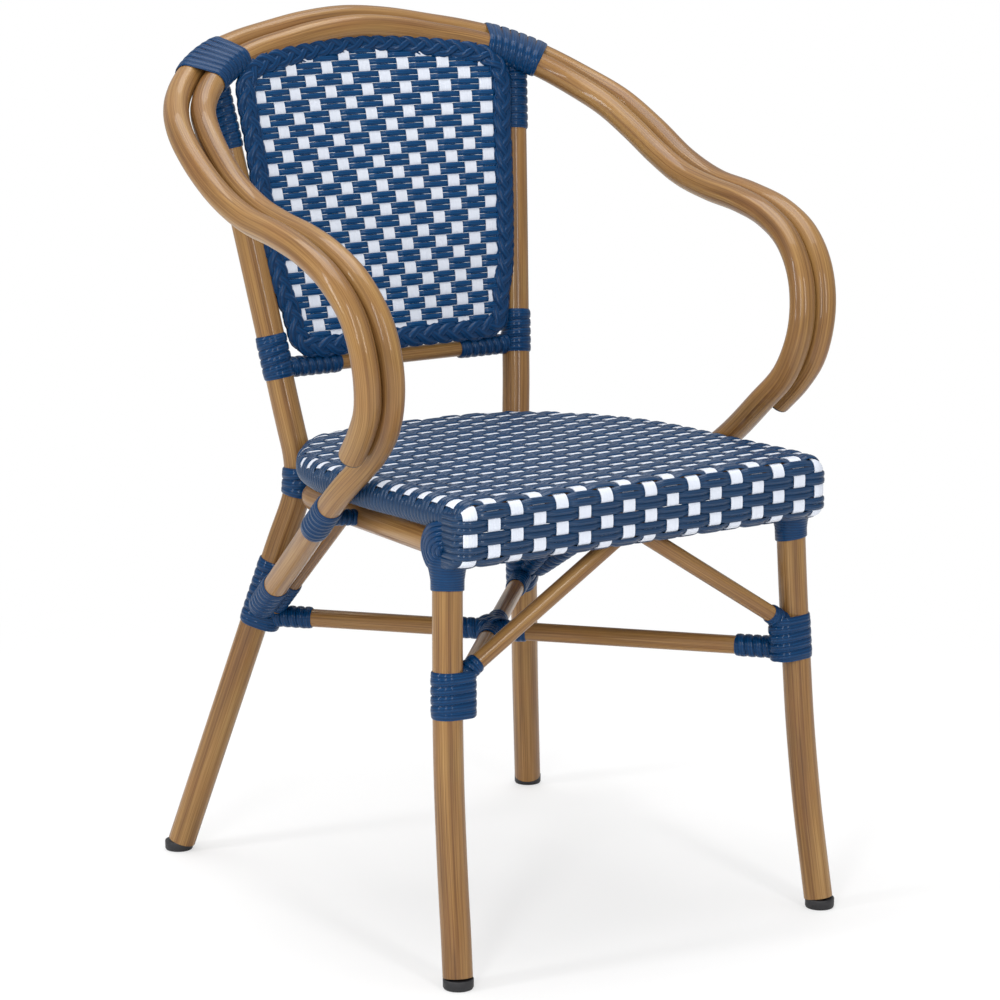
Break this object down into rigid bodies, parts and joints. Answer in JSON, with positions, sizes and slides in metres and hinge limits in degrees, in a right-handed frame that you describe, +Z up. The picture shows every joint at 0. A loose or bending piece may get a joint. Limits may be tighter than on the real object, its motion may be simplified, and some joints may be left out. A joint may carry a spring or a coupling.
{
  "type": "rattan bistro armchair",
  "caption": "Armchair of bent bamboo-look tubes, with a looped hoop for back and arms, bound joints, a woven seat and a woven back panel.",
  "frame": {"origin": "middle of the chair's box in plan, at floor level", "axes": "+Z up, -Y the way a sitter faces, +X to the right as seen from the front"},
  "size_m": [0.5722, 0.5568, 0.8519],
  "materials": {
    "bamboo_tube": "golden brown bamboo-look coating with lengthwise streaks, satin gloss",
    "blue_strand": "blue moulded strand, glossy",
    "blue_white_weave": "blue strand woven over flat white strips, glossy",
    "black_plastic": "matte black moulding"
  },
  "bodies": {
    "root": {"apron_rail": "bamboo_tube", "apron_spacer_left": "bamboo_tube", "apron_spacer_right": "bamboo_tube", "arm_stub_left": "blue_strand", "arm_stub_right": "blue_strand", "back_border": "blue_strand", "back_panel_rod": "bamboo_tube", "back_rail": "bamboo_tube", "binding_arm_end_left": "blue_strand", "binding_arm_end_right": "blue_strand", "binding_arm_left": "blue_strand", "binding_arm_right": "blue_strand", "binding_back_rail_left": "blue_strand", "binding_back_rail_right": "blue_strand", "binding_front_leg_left": "blue_strand", "binding_front_leg_right": "blue_strand", "binding_front_top_left": "blue_strand", "binding_front_top_right": "blue_strand", "binding_hoop_left": "blue_strand", "binding_hoop_right": "blue_strand", "binding_post_low_left": "blue_strand", "binding_post_low_right": "blue_strand", "binding_post_top_left": "blue_strand", "binding_post_top_right": "blue_strand", "binding_rear_leg_left": "blue_strand", "binding_rear_leg_right": "blue_strand", "binding_seat_rear_left": "blue_strand", "binding_seat_rear_right": "blue_strand", "binding_stretcher_cross": "blue_strand", "binding_stretcher_front_left": "blue_strand", "binding_stretcher_front_right": "blue_strand", "binding_stretcher_rear_left": "blue_strand", "binding_stretcher_rear_right": "blue_strand", "cheek_rosette_left": "blue_strand", "cheek_rosette_right": "blue_strand", "front_brace_left": "bamboo_tube", "front_brace_right": "bamboo_tube", "front_foot_cap_left": "black_plastic", "front_foot_cap_right": "black_plastic", "front_leg_left": "bamboo_tube", "front_leg_right": "bamboo_tube", "hoop_inner": "bamboo_tube", "hoop_outer": "bamboo_tube", "hoop_plug_left": "black_plastic", "hoop_plug_right": "black_plastic", "rear_brace_left": "bamboo_tube", "rear_brace_right": "bamboo_tube", "rear_foot_cap_left": "black_plastic", "rear_foot_cap_right": "black_plastic", "rear_leg_left": "bamboo_tube", "rear_leg_right": "bamboo_tube", "seat_cross_bar_front": "bamboo_tube", "seat_cross_bar_rear": "bamboo_tube", "seat_rim": "bamboo_tube", "seat_support_rail": "bamboo_tube", "stretcher_half_front": "bamboo_tube", "stretcher_half_rear": "bamboo_tube", "stretcher_whole": "bamboo_tube", "woven_back": "blue_white_weave", "woven_seat": "blue_white_weave"}
  },
  "joints": []
}
